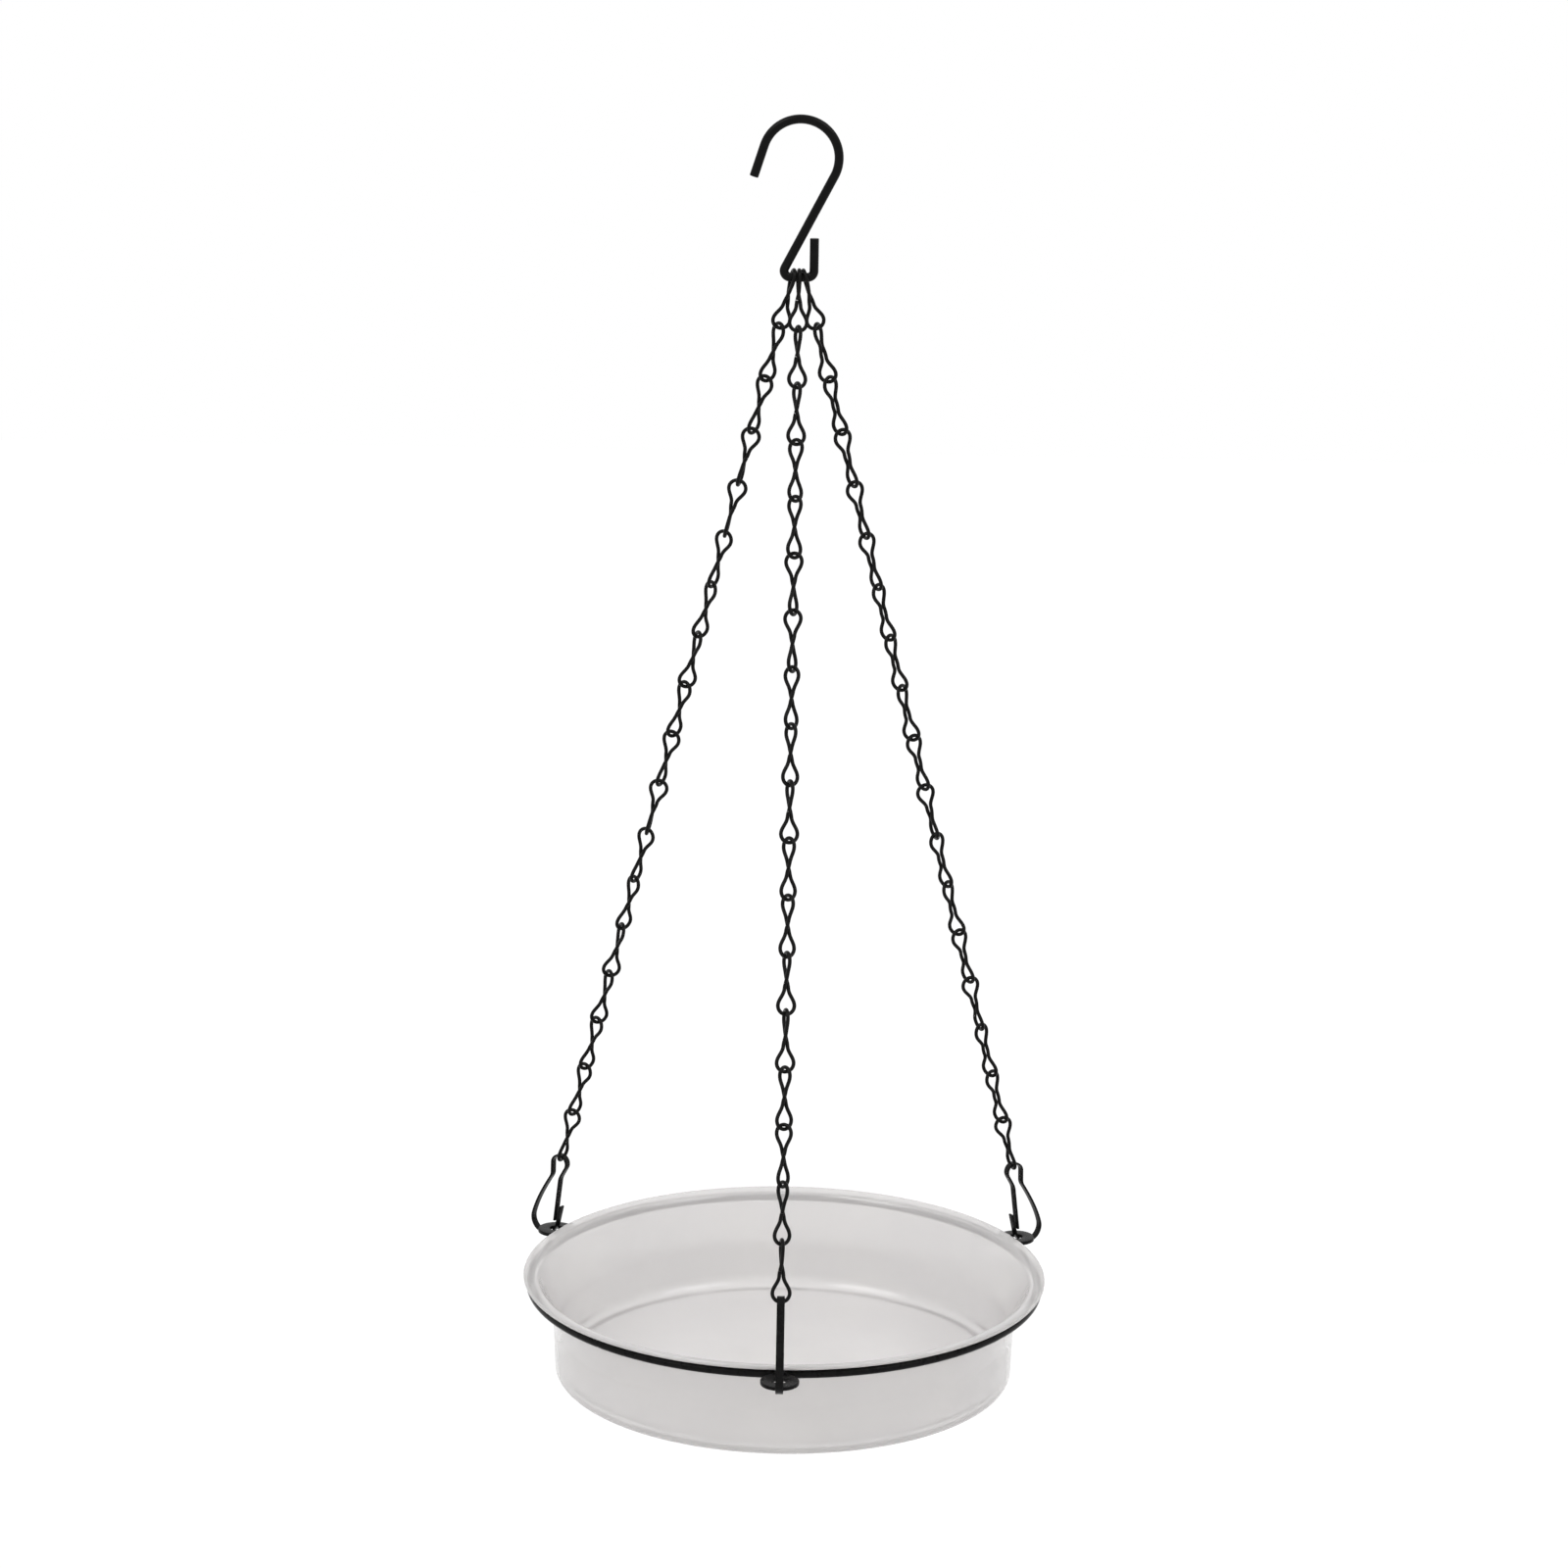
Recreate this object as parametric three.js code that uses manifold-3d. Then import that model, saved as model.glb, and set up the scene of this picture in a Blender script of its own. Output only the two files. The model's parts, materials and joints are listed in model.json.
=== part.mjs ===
// Hanging bird bath. A flared plastic bowl drops into a wire ring, and three chains of twisted
// wire links hang the ring from one S-hook. Each chain ends in a spring clip that is snapped
// through a flat eye on the ring. Millimetres, +Z up. The origin is the inside of the hook's
// crook, where it bears on what it hangs from, and the front chain comes down on the -Y side.
import * as THREE from 'three';
import * as BufferGeometryUtils from 'three/addons/utils/BufferGeometryUtils.js';
import Module from 'manifold-3d';

// Gap kept between pieces that bear on each other
const SEAT_GAP = 0.3;

// S-hook, bent from round wire in the XZ plane
const HOOK_WIRE_D = 4.2;
const CROOK_INSIDE_D = 31.0;
const HOOK_INSIDE_HEIGHT = 68.1;
const CROOK_WRAP_DEG = 162;
const CROOK_LIP = 15;
const HOOK_CORNER_R = 2.9;
const HOOK_TIP_RISE = 18;

// Chains of figure-eight links, with their two loops square to each other
const LINKS_PER_CHAIN = 18;
const LINK_WIRE_D = 1.8;
const LINK_INSIDE_LENGTH = 26.5;
const LINK_LOOP_R = 4.0;
const LINK_TAPER_LENGTH = 7.6;
const LINK_WAIST_GAP = 0.3;
const LINK_BUTT_GAP = 0.4;
const LINK_TWIST_LENGTH = 9;
const HOOK_LINK_SPACING = 2.9;
const HOOK_FLAT_MARGIN = 0.2;
const JOINED_LINKS = 2;
const BEARING_BEAD_R = 0.8;

// Spring clips, each bent from one flat strip that stands in the plane of its chain
const CLIP_STRIP = 1.0;
const CLIP_WIDTH = 3.6;
const CLIP_LOOP_R = 4.2;
const CLIP_LENGTH = 35.0;
const CLIP_NECK_DROP = 10.5;
const CLIP_NECK_HALF = 2.4;
const CLIP_NECK_BEND = 1.6;
const CLIP_BEND_ROOM = 4.0;
const CLIP_LEG_BULGE = 9;
const CLIP_TIP_RISE = 10.2;
const CLIP_TIP_LEAN = 0.4;
const GATE_OVERLAP = 8.5;
const GATE_SPLIT = 0.5;
const GATE_REST_GAP = 0.35;

// Wire ring with three flat eyes welded to its outside
const RING_WIRE_D = 4.0;
const RING_MEAN_R = 123.7;
const EYE_D = 18;
const EYE_HOLE_D = 6.5;
const EYE_THICKNESS = 1.8;
const EYE_WELD_LAP = 0.8;

// Bowl: a flared rim that sits on the ring, a curved shoulder, a straight wall and a flat base
const BOWL_WALL = 1.8;
const BOWL_DEPTH = 50.2;
const RIM_OVERHANG = 1.3;
const RIM_FLARE_WIDTH = 5.5;
const RIM_FLARE_DROP = 1.1;
const SHOULDER_DEPTH = 26;
const SHOULDER_INSET = 9.3;
const SHOULDER_TURN = 0.72;
const WALL_DRAFT = 0.6;
const BASE_EDGE_R = 3.1;
const FLOOR_FILLET_R = 7;

// Facets of round sections and turns
const HOOK_SIDES = 8;
const HOOK_STEPS = 80;
const HOOK_LENGTH_SAMPLES = 800;
const LINK_SIDES = 5;
const LINK_STEPS = 20;
const LINK_STRAIGHT_SHARE = 0.4;
const RING_SIDES = 8;
const RING_FACETS = 60;
const BOWL_FACETS = 56;
const BOWL_CURVE_POINTS = 3;
const EYE_FACETS = 12;
const CLIP_CURVE_POINTS = 7;

// Where each chain comes down, seen from above, and how far along the hook's flat it hangs.
// The turns are the plan angles of each link's lower loop, as the links happen to hang.
const CHAINS = [
  {
    name: 'front',
    azimuth: -90,
    place: 0,
    turns: [8, 18, 22, 46, 44, 66, 66, 50, 34, 20, 38, 38, 20, 14, 36, 56, 32, 8],
  },
  {
    name: 'left',
    azimuth: 150,
    place: -1,
    turns: [12, 34, 56, 78, 84, 60, 34, 20, 42, 64, 82, 60, 38, 17, 25, 40, 50, 64],
  },
  {
    name: 'right',
    azimuth: 30,
    place: 1,
    turns: [8, -18, -40, -58, -60, -55, -38, -33, -28, -50, -68, -46, -30, -52, -64, -40, -42, -66],
  },
];

const wasm = await Module();
wasm.setup();

const blackSteel = () => new THREE.MeshStandardMaterial({ color: 0x1c1b1b, roughness: 0.5, metalness: 0.7 });
const springSteel = () => new THREE.MeshStandardMaterial({ color: 0x232223, roughness: 0.4, metalness: 0.8 });
const frostedPlastic = () => new THREE.MeshStandardMaterial({ color: 0xd9d6d3, roughness: 0.4, metalness: 0 });

const hookR = HOOK_WIRE_D / 2;
const linkR = LINK_WIRE_D / 2;
const ringR = RING_WIRE_D / 2;

const bath = new THREE.Group();

function addPiece(name, geometry, material, parent = bath) {
  const mesh = new THREE.Mesh(geometry, material);
  mesh.name = name;
  parent.add(mesh);
  return mesh;
}

function roundSection(radius, sides) {
  const section = new THREE.Shape();
  for (let i = 0; i < sides; i += 1) {
    const angle = (2 * Math.PI * i) / sides;
    const x = radius * Math.cos(angle);
    const y = radius * Math.sin(angle);
    if (i === 0) section.moveTo(x, y);
    else section.lineTo(x, y);
  }
  section.closePath();
  return section;
}

function wireAlong(path, radius, sides, steps) {
  return new THREE.ExtrudeGeometry(roundSection(radius, sides), { steps, extrudePath: path });
}

function toSolid(geometry) {
  const bare = geometry.clone();
  bare.deleteAttribute('normal');
  bare.deleteAttribute('uv');
  const merged = BufferGeometryUtils.mergeVertices(bare);
  return new wasm.Manifold(new wasm.Mesh({
    numProp: 3,
    vertProperties: new Float32Array(merged.attributes.position.array),
    triVerts: new Uint32Array(merged.index.array),
  }));
}

function toGeometry(solid) {
  const mesh = solid.getMesh();
  const geometry = new THREE.BufferGeometry();
  geometry.setAttribute('position', new THREE.BufferAttribute(new Float32Array(mesh.vertProperties), 3));
  geometry.setIndex(new THREE.BufferAttribute(new Uint32Array(mesh.triVerts), 1));
  geometry.computeVertexNormals();
  return geometry;
}

// Points on both sides of a line in a plane, half a thickness away from it
function offsetSides(points, thickness) {
  const near = [];
  const far = [];
  points.forEach((point, i) => {
    const before = points[Math.max(i - 1, 0)];
    const after = points[Math.min(i + 1, points.length - 1)];
    const along = after.clone().sub(before).normalize();
    const across = new THREE.Vector2(-along.y, along.x).multiplyScalar(thickness / 2);
    near.push(point.clone().add(across));
    far.push(point.clone().sub(across));
  });
  return { near, far };
}

// S-hook. Its flat lower bend carries the three chains side by side.
const crookR = CROOK_INSIDE_D / 2 + hookR;
const crookZ = -CROOK_INSIDE_D / 2;
const hookBottomZ = -HOOK_INSIDE_HEIGHT - hookR;
const hookFlatHalf = HOOK_LINK_SPACING + linkR + HOOK_FLAT_MARGIN;

function hookPath() {
  const cornerZ = hookBottomZ + HOOK_CORNER_R;
  const apart = Math.hypot(hookFlatHalf, crookZ - cornerZ);
  const lean = Math.atan2(hookFlatHalf, crookZ - cornerZ) + Math.asin((crookR + HOOK_CORNER_R) / apart);
  const wrap = THREE.MathUtils.degToRad(CROOK_WRAP_DEG);
  const wrapX = crookR * Math.cos(wrap);
  const wrapZ = crookZ + crookR * Math.sin(wrap);
  const endX = wrapX - CROOK_LIP * Math.sin(wrap);
  const endZ = wrapZ + CROOK_LIP * Math.cos(wrap);
  const outline = new THREE.Path();
  outline.moveTo(endX, endZ);
  outline.lineTo(wrapX, wrapZ);
  outline.absarc(0, crookZ, crookR, wrap, -lean, true);
  outline.absarc(-hookFlatHalf, cornerZ, HOOK_CORNER_R, Math.PI - lean, 1.5 * Math.PI, false);
  outline.absarc(hookFlatHalf, cornerZ, HOOK_CORNER_R, 1.5 * Math.PI, 2 * Math.PI, false);
  outline.lineTo(hookFlatHalf + HOOK_CORNER_R, hookBottomZ + HOOK_TIP_RISE);
  return outline;
}

// A flat line in the XZ plane, as a path in space
class UprightPath extends THREE.Curve {
  constructor(outline) {
    super();
    this.outline = outline;
    this.arcLengthDivisions = HOOK_LENGTH_SAMPLES;
  }

  getPoint(t, target = new THREE.Vector3()) {
    const point = this.outline.getPointAt(t);
    return target.set(point.x, 0, point.y);
  }
}

addPiece('s_hook', wireAlong(new UprightPath(hookPath()), hookR, HOOK_SIDES, HOOK_STEPS), blackSteel());

// Eyes and the spring clips' lower bends. Both edges of an eye's outer web rest in the bend,
// so the bend's centre lies straight above the middle of the web.
const eyeR = RING_MEAN_R + ringR + EYE_D / 2 - EYE_WELD_LAP;
const eyeWeb = (EYE_D - EYE_HOLE_D) / 2;
const webMiddle = (EYE_D + EYE_HOLE_D) / 4;
const bendInsideR = eyeWeb / 2 + CLIP_BEND_ROOM;
const bendRise = Math.sqrt((bendInsideR - SEAT_GAP) ** 2 - (eyeWeb / 2) ** 2) - EYE_THICKNESS / 2;

// Chains. Each one's line runs from the hook wire's centre to the centre of its clip's lower bend.
const linkPitch = LINK_INSIDE_LENGTH - SEAT_GAP;
const hookBearing = hookR + SEAT_GAP / 2;
const fullLength = LINKS_PER_CHAIN * linkPitch + CLIP_LENGTH - hookBearing;
const ringZ = hookBottomZ - Math.sqrt(fullLength ** 2 - (eyeR + webMiddle) ** 2) - bendRise;

function eyeCentre(azimuth) {
  const angle = THREE.MathUtils.degToRad(azimuth);
  return new THREE.Vector3(eyeR * Math.cos(angle), eyeR * Math.sin(angle), ringZ);
}

function chainLine(chain) {
  const top = new THREE.Vector3(chain.place * HOOK_LINK_SPACING, 0, hookBottomZ);
  const eye = eyeCentre(chain.azimuth);
  const outward = new THREE.Vector3(eye.x - top.x, eye.y - top.y, 0).normalize();
  const bend = eye.clone().addScaledVector(outward, webMiddle);
  bend.z += bendRise;
  const down = bend.clone().sub(top).normalize();
  const firstBearing = top.clone().addScaledVector(down, -hookBearing);
  const pitch = (bend.distanceTo(firstBearing) - CLIP_LENGTH) / LINKS_PER_CHAIN;
  const lastBearing = firstBearing.clone().addScaledVector(down, LINKS_PER_CHAIN * pitch);
  return { outward, down, pitch, firstBearing, lastBearing };
}

// One link as a single wire: round the lower loop, up one strand, round the upper loop, which
// is turned a quarter, and down the other strand, where its two ends butt at the waist.
class LinkPath extends THREE.Curve {
  constructor() {
    super();
    this.half = (LINK_INSIDE_LENGTH + LINK_WIRE_D) / 2;
    this.waist = linkR + LINK_WAIST_GAP / 2;
    this.trim = LINK_BUTT_GAP / (8 * this.half);
  }

  // Even steps of t, so that most of them fall in the round ends
  getUtoTmapping(u) {
    return u;
  }

  // Height along the link and distance from its axis, from the waist (0) to the loop's end (1)
  strand(way) {
    const straight = this.half - LINK_LOOP_R;
    if (way > LINK_STRAIGHT_SHARE) {
      const turn = ((way - LINK_STRAIGHT_SHARE) / (1 - LINK_STRAIGHT_SHARE)) * (Math.PI / 2);
      return { rise: straight + LINK_LOOP_R * Math.sin(turn), reach: LINK_LOOP_R * Math.cos(turn) };
    }
    const rise = straight * (way / LINK_STRAIGHT_SHARE);
    const taper = Math.min((straight - rise) / LINK_TAPER_LENGTH, 1);
    const reach = this.waist + (LINK_LOOP_R - this.waist) * 0.5 * (1 + Math.cos(Math.PI * taper));
    return { rise, reach };
  }

  getPoint(t, target = new THREE.Vector3()) {
    const turn = this.trim + t * (1 - 2 * this.trim);
    const quarter = Math.min(Math.floor(4 * turn), 3);
    const through = 4 * turn - quarter;
    const { rise, reach } = this.strand(quarter % 2 === 0 ? through : 1 - through);
    const z = quarter < 2 ? -rise : rise;
    const side = quarter === 0 || quarter === 3 ? -reach : reach;
    const twist = THREE.MathUtils.smoothstep(z, -LINK_TWIST_LENGTH / 2, LINK_TWIST_LENGTH / 2) * (Math.PI / 2);
    return target.set(side * Math.cos(twist), side * Math.sin(twist), z);
  }
}

const linkGeometry = wireAlong(new LinkPath(), linkR, LINK_SIDES, LINK_STEPS);

// The frame of a chain: Z runs up along it and X lies as near to +X as it can
function chainFrame(down) {
  const up = down.clone().negate();
  const side = new THREE.Vector3().crossVectors(up, new THREE.Vector3(1, 0, 0)).normalize();
  const across = new THREE.Vector3().crossVectors(side, up);
  return new THREE.Matrix4().makeBasis(across, side, up);
}

function linkNumber(index) {
  return String(index + 1).padStart(2, '0');
}

// The first links of a chain are held together where they bear, in one solid
function joinedLinks(chain, pitch) {
  let solid = null;
  for (let i = 0; i < JOINED_LINKS; i += 1) {
    const rise = ((JOINED_LINKS - 1) / 2 - i) * pitch;
    const place = new THREE.Matrix4().makeRotationZ(THREE.MathUtils.degToRad(chain.turns[i]));
    place.setPosition(0, 0, rise);
    const link = toSolid(linkGeometry.clone().applyMatrix4(place));
    const bead = new THREE.IcosahedronGeometry(BEARING_BEAD_R, 0).translate(0, 0, rise + pitch / 2);
    solid = solid === null ? link : solid.add(link).add(toSolid(bead));
  }
  return toGeometry(solid);
}

function addChain(chain, line) {
  const frame = chainFrame(line.down);
  const addLink = (name, geometry, middle, turn) => {
    const holder = new THREE.Group();
    holder.setRotationFromMatrix(frame);
    holder.position.copy(line.firstBearing).addScaledVector(line.down, middle * line.pitch);
    const mesh = addPiece(name, geometry, blackSteel(), holder);
    mesh.rotation.z = turn;
    bath.add(holder);
  };
  const joinedName = `chain_${chain.name}_links_${linkNumber(0)}_${linkNumber(JOINED_LINKS - 1)}`;
  addLink(joinedName, joinedLinks(chain, line.pitch), JOINED_LINKS / 2, 0);
  for (let i = JOINED_LINKS; i < LINKS_PER_CHAIN; i += 1) {
    const turn = THREE.MathUtils.degToRad(chain.turns[i % chain.turns.length]);
    addLink(`chain_${chain.name}_link_${linkNumber(i)}`, linkGeometry, i + 0.5, turn);
  }
}

// Spring clip, drawn with X outward and Y up along the chain, from the bearing on the last link.
// The flat strip bears with its two edges in the link's round end.
const bendR = bendInsideR + CLIP_STRIP / 2;
const linkInsideR = LINK_LOOP_R - linkR;
const edgeRise = linkInsideR - Math.sqrt(linkInsideR ** 2 - Math.min(CLIP_WIDTH / 2, linkInsideR) ** 2);
const clipLoopY = SEAT_GAP / 2 + edgeRise + CLIP_STRIP / 2 - CLIP_LOOP_R;
const neck = new THREE.Vector2(CLIP_NECK_HALF, -CLIP_NECK_DROP);
const tipTop = new THREE.Vector2(-bendR + CLIP_TIP_LEAN, -CLIP_LENGTH + CLIP_TIP_RISE);

// Angle on the small loop where the straight to the neck touches it, below the outward side
function loopTangent() {
  const drop = clipLoopY - neck.y;
  const apart = Math.hypot(neck.x, drop);
  return Math.acos(CLIP_LOOP_R / apart) - Math.atan2(drop, neck.x);
}

function clipOutline() {
  const tangent = loopTangent();
  const side = new THREE.Vector2(Math.cos(tangent), Math.sin(tangent)).multiplyScalar(CLIP_LOOP_R);
  side.y += clipLoopY;
  const intoNeck = neck.clone().sub(side).normalize();
  const neckStart = neck.clone().addScaledVector(intoNeck, -CLIP_NECK_BEND);
  const legTop = new THREE.Vector2(bendR, -CLIP_LENGTH + CLIP_LEG_BULGE);
  const legway = legTop.clone().sub(neck).normalize();
  const neckEnd = neck.clone().addScaledVector(legway, CLIP_NECK_BEND);
  const gateway = gateEnd().sub(mirrored(neck)).normalize();
  const split = mirrored(neck).addScaledVector(gateway, -GATE_SPLIT / 2);
  const path = new THREE.Path();
  path.moveTo(split.x, split.y);
  path.lineTo(-side.x, side.y);
  path.absarc(0, clipLoopY, CLIP_LOOP_R, Math.PI - tangent, tangent, true);
  path.lineTo(neckStart.x, neckStart.y);
  path.quadraticCurveTo(neck.x, neck.y, neckEnd.x, neckEnd.y);
  path.quadraticCurveTo(legTop.x, legTop.y, bendR, -CLIP_LENGTH);
  path.absarc(0, -CLIP_LENGTH, bendR, 0, -Math.PI, true);
  path.lineTo(tipTop.x, tipTop.y);
  return path;
}

function mirrored(point) {
  return new THREE.Vector2(-point.x, point.y);
}

// The gate's free end rests against the pear's side of the tip
function gateEnd() {
  return new THREE.Vector2(tipTop.x + CLIP_STRIP + GATE_REST_GAP, tipTop.y - GATE_OVERLAP);
}

function gateOutline() {
  const start = mirrored(neck);
  const end = gateEnd();
  const gateway = end.clone().sub(start).normalize();
  const path = new THREE.Path();
  path.moveTo(start.x + gateway.x * (GATE_SPLIT / 2), start.y + gateway.y * (GATE_SPLIT / 2));
  path.lineTo(end.x, end.y);
  return path;
}

function stripAlong(path) {
  const sides = offsetSides(path.getPoints(CLIP_CURVE_POINTS), CLIP_STRIP);
  const outline = new THREE.Shape(sides.near.concat(sides.far.reverse()));
  const strip = new THREE.ExtrudeGeometry(outline, { depth: CLIP_WIDTH, bevelEnabled: false });
  return strip.translate(0, 0, -CLIP_WIDTH / 2);
}

function addClip(chain, line) {
  const up = line.down.clone().negate();
  const tangent = new THREE.Vector3().crossVectors(line.outward, up).normalize();
  const across = new THREE.Vector3().crossVectors(up, tangent);
  const holder = new THREE.Group();
  holder.setRotationFromMatrix(new THREE.Matrix4().makeBasis(across, up, tangent));
  holder.position.copy(line.lastBearing);
  bath.add(holder);
  addPiece(`clip_${chain.name}`, stripAlong(clipOutline()), springSteel(), holder);
  const hinge = mirrored(neck);
  const gate = stripAlong(gateOutline()).translate(-hinge.x, -hinge.y, 0);
  addPiece(`clip_gate_${chain.name}`, gate, springSteel(), holder).position.set(hinge.x, hinge.y, 0);
}

for (const chain of CHAINS) {
  const line = chainLine(chain);
  addChain(chain, line);
  addClip(chain, line);
}

// Ring and eyes, one weldment
function ringGeometry() {
  const section = [];
  for (let i = 0; i <= RING_SIDES; i += 1) {
    const angle = (2 * Math.PI * i) / RING_SIDES;
    section.push(new THREE.Vector2(RING_MEAN_R + ringR * Math.cos(angle), ringR * Math.sin(angle)));
  }
  let solid = toSolid(new THREE.LatheGeometry(section, RING_FACETS).rotateX(Math.PI / 2));
  for (const chain of CHAINS) {
    const disc = new THREE.Shape();
    disc.absarc(0, 0, EYE_D / 2, 0, 2 * Math.PI, false);
    const hole = new THREE.Path();
    hole.absarc(0, 0, EYE_HOLE_D / 2, 0, 2 * Math.PI, true);
    disc.holes.push(hole);
    const eye = new THREE.ExtrudeGeometry(disc, {
      depth: EYE_THICKNESS,
      bevelEnabled: false,
      curveSegments: EYE_FACETS,
    });
    const centre = eyeCentre(chain.azimuth);
    eye.translate(centre.x, centre.y, -EYE_THICKNESS / 2);
    solid = solid.add(toSolid(eye));
  }
  return toGeometry(solid);
}

addPiece('support_ring', ringGeometry(), blackSteel()).position.z = ringZ;

// Bowl. Its wall is half a thickness each side of a middle line, and the flare sits on the ring.
const rimR = RING_MEAN_R + ringR + RIM_OVERHANG;
const lipR = rimR - BOWL_WALL / 2;
const flareSlope = Math.atan2(RIM_FLARE_DROP, RIM_FLARE_WIDTH);
const seatRise = (ringR + SEAT_GAP + BOWL_WALL / 2) / Math.cos(flareSlope);
const lipZ = ringZ + seatRise + (lipR - RING_MEAN_R) * Math.tan(flareSlope);
const baseZ = lipZ + BOWL_WALL / 2 - BOWL_DEPTH + BOWL_WALL / 2;

function bowlMiddleLine(cornerR) {
  const flareR = lipR - RIM_FLARE_WIDTH;
  const flareZ = lipZ - RIM_FLARE_DROP;
  const wallR = flareR - SHOULDER_INSET;
  const wallZ = flareZ - SHOULDER_DEPTH;
  const flatR = wallR - WALL_DRAFT - cornerR;
  const line = new THREE.Path();
  line.moveTo(0, baseZ);
  line.lineTo(flatR, baseZ);
  line.absarc(flatR, baseZ + cornerR, cornerR, -Math.PI / 2, 0, false);
  line.lineTo(wallR, wallZ);
  line.quadraticCurveTo(wallR, flareZ - SHOULDER_DEPTH * SHOULDER_TURN, flareR, flareZ);
  line.lineTo(lipR, lipZ);
  return line;
}

// The moulding is thicker at the foot of the wall, where the floor's fillet is wider than the edge
function bowlGeometry() {
  const outerLine = bowlMiddleLine(BASE_EDGE_R - BOWL_WALL / 2).getPoints(BOWL_CURVE_POINTS);
  const innerLine = bowlMiddleLine(FLOOR_FILLET_R + BOWL_WALL / 2).getPoints(BOWL_CURVE_POINTS);
  const under = offsetSides(outerLine, BOWL_WALL).far;
  const inside = offsetSides(innerLine, BOWL_WALL).near;
  const edge = new THREE.Vector2(Math.cos(flareSlope), Math.sin(flareSlope)).multiplyScalar(BOWL_WALL / 2);
  const lip = new THREE.Vector2(lipR, lipZ).add(edge);
  const profile = under.concat([lip], inside.reverse());
  return new THREE.LatheGeometry(profile, BOWL_FACETS).rotateX(Math.PI / 2);
}

addPiece('bowl', bowlGeometry(), frostedPlastic());

export default bath;
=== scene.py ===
"""Looks of a hanging bird bath: an S-hook, three jack chains, spring clips, a wire ring and a bowl.

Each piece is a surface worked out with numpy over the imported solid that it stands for. Metres, +Z up,
with the origin inside the hook's crook and the front chain on the -Y side.
"""

import json
import logging
import math
from dataclasses import dataclass, field, replace
from enum import Enum

import bpy
import numpy as np
from mathutils import Matrix, Vector


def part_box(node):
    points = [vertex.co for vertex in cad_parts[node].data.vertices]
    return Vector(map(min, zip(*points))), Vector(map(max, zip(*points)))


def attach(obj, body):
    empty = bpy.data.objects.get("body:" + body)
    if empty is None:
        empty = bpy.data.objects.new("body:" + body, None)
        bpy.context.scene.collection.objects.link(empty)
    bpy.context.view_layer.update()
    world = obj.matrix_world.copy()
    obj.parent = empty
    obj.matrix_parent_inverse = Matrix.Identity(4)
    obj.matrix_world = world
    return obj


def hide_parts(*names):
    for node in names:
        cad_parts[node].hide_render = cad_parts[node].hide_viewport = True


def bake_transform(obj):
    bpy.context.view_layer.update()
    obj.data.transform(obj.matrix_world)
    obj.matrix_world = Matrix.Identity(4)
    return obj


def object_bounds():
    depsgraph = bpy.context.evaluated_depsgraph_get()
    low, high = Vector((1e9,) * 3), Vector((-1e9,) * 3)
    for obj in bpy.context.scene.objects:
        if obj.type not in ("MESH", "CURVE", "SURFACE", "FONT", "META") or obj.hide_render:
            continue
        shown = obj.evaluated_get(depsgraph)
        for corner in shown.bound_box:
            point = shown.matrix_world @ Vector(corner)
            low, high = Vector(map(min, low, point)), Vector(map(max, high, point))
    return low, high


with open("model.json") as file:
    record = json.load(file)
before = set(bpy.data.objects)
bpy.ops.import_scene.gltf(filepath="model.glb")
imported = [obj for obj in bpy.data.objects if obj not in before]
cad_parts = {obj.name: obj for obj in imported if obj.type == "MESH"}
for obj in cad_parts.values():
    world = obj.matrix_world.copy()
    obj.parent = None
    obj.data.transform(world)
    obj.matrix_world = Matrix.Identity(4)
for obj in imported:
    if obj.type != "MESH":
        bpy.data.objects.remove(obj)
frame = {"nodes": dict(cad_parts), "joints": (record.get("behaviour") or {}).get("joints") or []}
cad_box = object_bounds()

log = logging.getLogger("bird_bath")

Array = np.ndarray
Colour = tuple[float, float, float]
Point = tuple[float, float]
Span = tuple[float, float]
Socket = bpy.types.NodeSocket

MM = 0.001
UP = np.array([0.0, 0.0, 1.0])
FULL: Span = (0.0, 1.0)
RUB_ATTRIBUTE = "rubbed"

# Points on a bend, a bend that goes far round, a curve, a long curve and a small rounded edge
ARC_POINTS = 49
LONG_ARC_POINTS = 97
CURVE_POINTS = 33
LONG_CURVE_POINTS = 65
EDGE_POINTS = 5


class Side(Enum):
    """The three chains, with the azimuth in degrees at which each one comes down."""

    FRONT = -90.0
    LEFT = 150.0
    RIGHT = 30.0

    @property
    def word(self) -> str:
        """The side's word in node and body names."""
        return self.name.lower()

    @property
    def outward(self) -> Array:
        """Level direction from the middle of the ring to this side's eye."""
        angle = math.radians(self.value)
        return np.array([math.cos(angle), math.sin(angle), 0.0])


class Slot(Enum):
    """The record's material slots."""

    HOOK = "hook_wire"
    CHAIN = "chain_wire"
    CLIP = "clip_strip"
    RING = "ring_wire"
    BOWL = "bowl_plastic"


class Ends(Enum):
    """How a grid of points is closed along its rows."""

    CAPPED = "capped"
    JOINED = "joined"


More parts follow.
